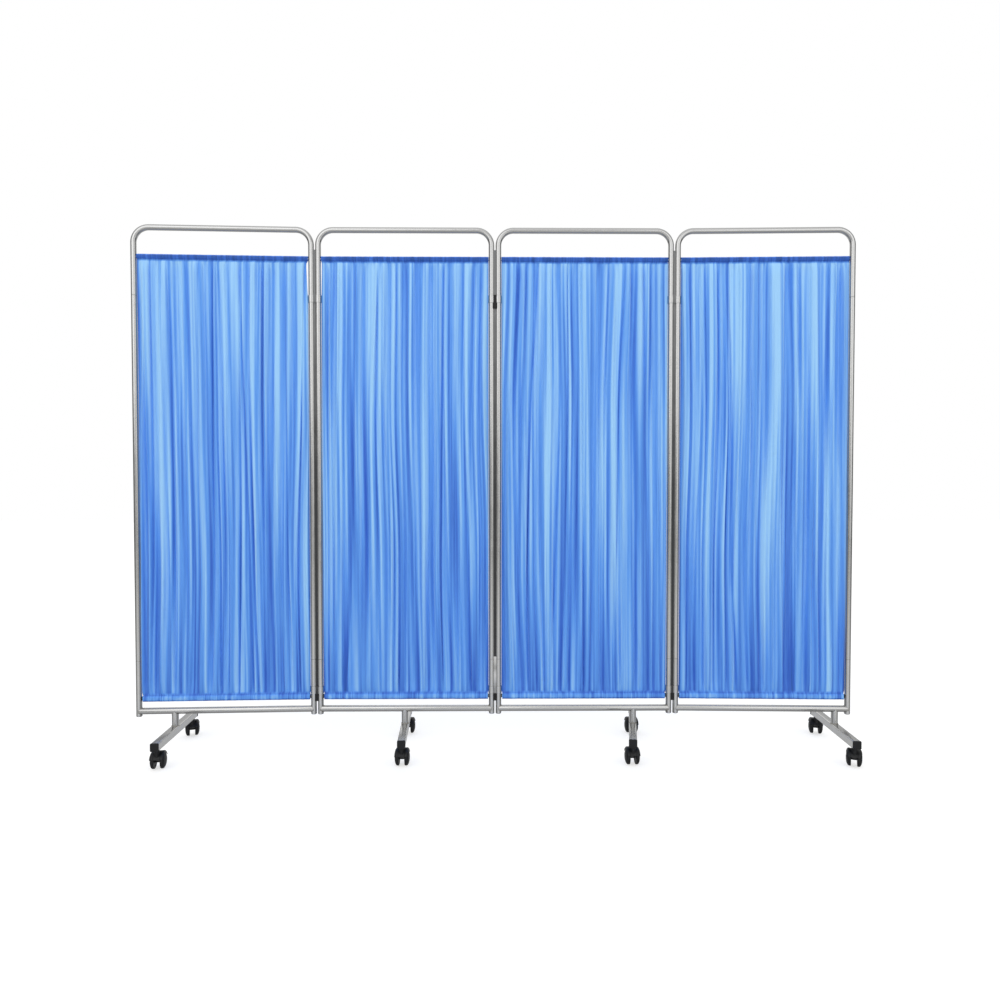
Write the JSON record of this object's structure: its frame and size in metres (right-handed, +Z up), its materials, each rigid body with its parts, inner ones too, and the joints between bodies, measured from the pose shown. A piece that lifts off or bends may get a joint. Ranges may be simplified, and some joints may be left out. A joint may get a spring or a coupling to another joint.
{
  "type": "folding ward privacy screen",
  "caption": "Folding privacy screen of tube-framed panels with gathered curtains, joined by double-pivot hinge links and standing on T feet with hooded twin-wheel castors.",
  "frame": {"origin": "on the floor, at the middle of the whole screen's box, with the screen opened out as in the picture", "axes": "+X along the opened screen to the viewer's right, +Y away from the viewer, +Z up"},
  "size_m": [2.3912, 0.3852, 1.75],
  "materials": {
    "polished_stainless_tube": "polished stainless steel tube",
    "curtain_rod_steel": "drawn steel rod, bright",
    "curtain_cloth": "satin polyester, gathered",
    "moulded_black_plastic": "moulded, fine texture",
    "castor_wheel": "moulded nylon, semi-matt",
    "hinge_strip": "extruded dark strip with steel bands"
  },
  "bodies": {
    "panel_1": {"panel_1_top_frame": "polished_stainless_tube", "panel_1_side_tube_left": "polished_stainless_tube", "panel_1_side_tube_right": "polished_stainless_tube", "panel_1_base_frame": "polished_stainless_tube", "panel_1_curtain_rod_top": "curtain_rod_steel", "panel_1_curtain_rod_bottom": "curtain_rod_steel", "panel_1_curtain": "curtain_cloth", "foot_1": "polished_stainless_tube", "foot_1_end_cap_front": "moulded_black_plastic", "foot_1_end_cap_rear": "moulded_black_plastic"},
    "panel_2": {"panel_2_top_frame": "polished_stainless_tube", "panel_2_side_tube_left": "polished_stainless_tube", "panel_2_side_tube_right": "polished_stainless_tube", "panel_2_base_frame": "polished_stainless_tube", "panel_2_curtain_rod_top": "curtain_rod_steel", "panel_2_curtain_rod_bottom": "curtain_rod_steel", "panel_2_curtain": "curtain_cloth", "foot_2": "polished_stainless_tube", "foot_2_end_cap_front": "moulded_black_plastic", "foot_2_end_cap_rear": "moulded_black_plastic"},
    "panel_3": {"panel_3_top_frame": "polished_stainless_tube", "panel_3_side_tube_left": "polished_stainless_tube", "panel_3_side_tube_right": "polished_stainless_tube", "panel_3_base_frame": "polished_stainless_tube", "panel_3_curtain_rod_top": "curtain_rod_steel", "panel_3_curtain_rod_bottom": "curtain_rod_steel", "panel_3_curtain": "curtain_cloth", "foot_3": "polished_stainless_tube", "foot_3_end_cap_front": "moulded_black_plastic", "foot_3_end_cap_rear": "moulded_black_plastic"},
    "panel_4": {"panel_4_top_frame": "polished_stainless_tube", "panel_4_side_tube_left": "polished_stainless_tube", "panel_4_side_tube_right": "polished_stainless_tube", "panel_4_base_frame": "polished_stainless_tube", "panel_4_curtain_rod_top": "curtain_rod_steel", "panel_4_curtain_rod_bottom": "curtain_rod_steel", "panel_4_curtain": "curtain_cloth", "foot_4": "polished_stainless_tube", "foot_4_end_cap_front": "moulded_black_plastic", "foot_4_end_cap_rear": "moulded_black_plastic"},
    "link_12": {"hinge_link_12": "hinge_strip"},
    "link_23": {"hinge_link_23": "hinge_strip"},
    "link_34": {"hinge_link_34": "hinge_strip"},
    "castor_1_front": {"castor_1_front_hood": "moulded_black_plastic"},
    "wheels_1_front": {"castor_1_front_wheels": "castor_wheel"},
    "castor_1_rear": {"castor_1_rear_hood": "moulded_black_plastic"},
    "wheels_1_rear": {"castor_1_rear_wheels": "castor_wheel"},
    "castor_2_front": {"castor_2_front_hood": "moulded_black_plastic"},
    "wheels_2_front": {"castor_2_front_wheels": "castor_wheel"},
    "castor_2_rear": {"castor_2_rear_hood": "moulded_black_plastic"},
    "wheels_2_rear": {"castor_2_rear_wheels": "castor_wheel"},
    "castor_3_front": {"castor_3_front_hood": "moulded_black_plastic"},
    "wheels_3_front": {"castor_3_front_wheels": "castor_wheel"},
    "castor_3_rear": {"castor_3_rear_hood": "moulded_black_plastic"},
    "wheels_3_rear": {"castor_3_rear_wheels": "castor_wheel"},
    "castor_4_front": {"castor_4_front_hood": "moulded_black_plastic"},
    "wheels_4_front": {"castor_4_front_wheels": "castor_wheel"},
    "castor_4_rear": {"castor_4_rear_hood": "moulded_black_plastic"},
    "wheels_4_rear": {"castor_4_rear_wheels": "castor_wheel"}
  },
  "joints": [
    {"name": "link_12_turn", "type": "hinge", "parent": "panel_2", "child": "link_12", "pos_m": [-0.58756, -0.00023, 0.9], "axis": [0, 0, 1], "range_deg": [-90, 90]},
    {"name": "panel_1_turn", "type": "hinge", "parent": "link_12", "child": "panel_1", "pos_m": [-0.61056, -0.00023, 0.9], "axis": [0, 0, 1], "range_deg": [-92, 87]},
    {"name": "link_23_turn", "type": "hinge", "parent": "panel_2", "child": "link_23", "pos_m": [-0.01156, -0.00023, 0.9], "axis": [0, 0, 1], "range_deg": [-90, 90]},
    {"name": "panel_3_turn", "type": "hinge", "parent": "link_23", "child": "panel_3", "pos_m": [0.01144, -0.00023, 0.9], "axis": [0, 0, 1], "range_deg": [-90, 90]},
    {"name": "link_34_turn", "type": "hinge", "parent": "panel_3", "child": "link_34", "pos_m": [0.58744, -0.00023, 0.9], "axis": [0, 0, -1], "range_deg": [-90, 90]},
    {"name": "panel_4_turn", "type": "hinge", "parent": "link_34", "child": "panel_4", "pos_m": [0.61044, -0.00023, 0.9], "axis": [0, 0, -1], "range_deg": [-92, 88]},
    {"name": "castor_1_front_swivel", "type": "hinge", "parent": "panel_1", "child": "castor_1_front", "pos_m": [-1.06183, -0.16948, 0.066], "axis": [0, 0, 1], "continuous": true},
    {"name": "castor_1_rear_swivel", "type": "hinge", "parent": "panel_1", "child": "castor_1_rear", "pos_m": [-1.07553, 0.13221, 0.066], "axis": [0, 0, 1], "continuous": true},
    {"name": "castor_2_front_swivel", "type": "hinge", "parent": "panel_2", "child": "castor_2_front", "pos_m": [-0.29708, -0.15105, 0.066], "axis": [0, 0, 1], "continuous": true},
    {"name": "castor_2_rear_swivel", "type": "hinge", "parent": "panel_2", "child": "castor_2_rear", "pos_m": [-0.31183, 0.15058, 0.066], "axis": [0, 0, 1], "continuous": true},
    {"name": "castor_3_front_swivel", "type": "hinge", "parent": "panel_3", "child": "castor_3_front", "pos_m": [0.43974, -0.14885, 0.066], "axis": [0, 0, 1], "continuous": true},
    {"name": "castor_3_rear_swivel", "type": "hinge", "parent": "panel_3", "child": "castor_3_rear", "pos_m": [0.49322, 0.14838, 0.066], "axis": [0, 0, 1], "continuous": true},
    {"name": "castor_4_front_swivel", "type": "hinge", "parent": "panel_4", "child": "castor_4_front", "pos_m": [1.13748, -0.16973, 0.066], "axis": [0, 0, 1], "continuous": true},
    {"name": "castor_4_rear_swivel", "type": "hinge", "parent": "panel_4", "child": "castor_4_rear", "pos_m": [1.15066, 0.13199, 0.066], "axis": [0, 0, 1], "continuous": true},
    {"name": "wheels_1_front_spin", "type": "hinge", "parent": "castor_1_front", "child": "wheels_1_front", "pos_m": [-1.06496, -0.15277, 0.025], "axis": [0.9829, 0.184, 0], "continuous": true},
    {"name": "wheels_1_rear_spin", "type": "hinge", "parent": "castor_1_rear", "child": "wheels_1_rear", "pos_m": [-1.08163, 0.14808, 0.025], "axis": [0.9336, 0.3584, 0], "continuous": true},
    {"name": "wheels_2_front_spin", "type": "hinge", "parent": "castor_2_front", "child": "wheels_2_front", "pos_m": [-0.29708, -0.13406, 0.025], "axis": [1, 0, 0], "continuous": true},
    {"name": "wheels_2_rear_spin", "type": "hinge", "parent": "castor_2_rear", "child": "wheels_2_rear", "pos_m": [-0.31183, 0.16759, 0.025], "axis": [1, 0, 0], "continuous": true},
    {"name": "wheels_3_front_spin", "type": "hinge", "parent": "castor_3_front", "child": "wheels_3_front", "pos_m": [0.43974, -0.13185, 0.025], "axis": [1, 0, 0], "continuous": true},
    {"name": "wheels_3_rear_spin", "type": "hinge", "parent": "castor_3_rear", "child": "wheels_3_rear", "pos_m": [0.49322, 0.16538, 0.025], "axis": [1, 0, 0], "continuous": true},
    {"name": "wheels_4_front_spin", "type": "hinge", "parent": "castor_4_front", "child": "wheels_4_front", "pos_m": [1.14467, -0.15432, 0.025], "axis": [0.9063, -0.4226, 0], "continuous": true},
    {"name": "wheels_4_rear_spin", "type": "hinge", "parent": "castor_4_rear", "child": "wheels_4_rear", "pos_m": [1.15591, 0.14816, 0.025], "axis": [0.9511, -0.309, 0], "continuous": true}
  ]
}
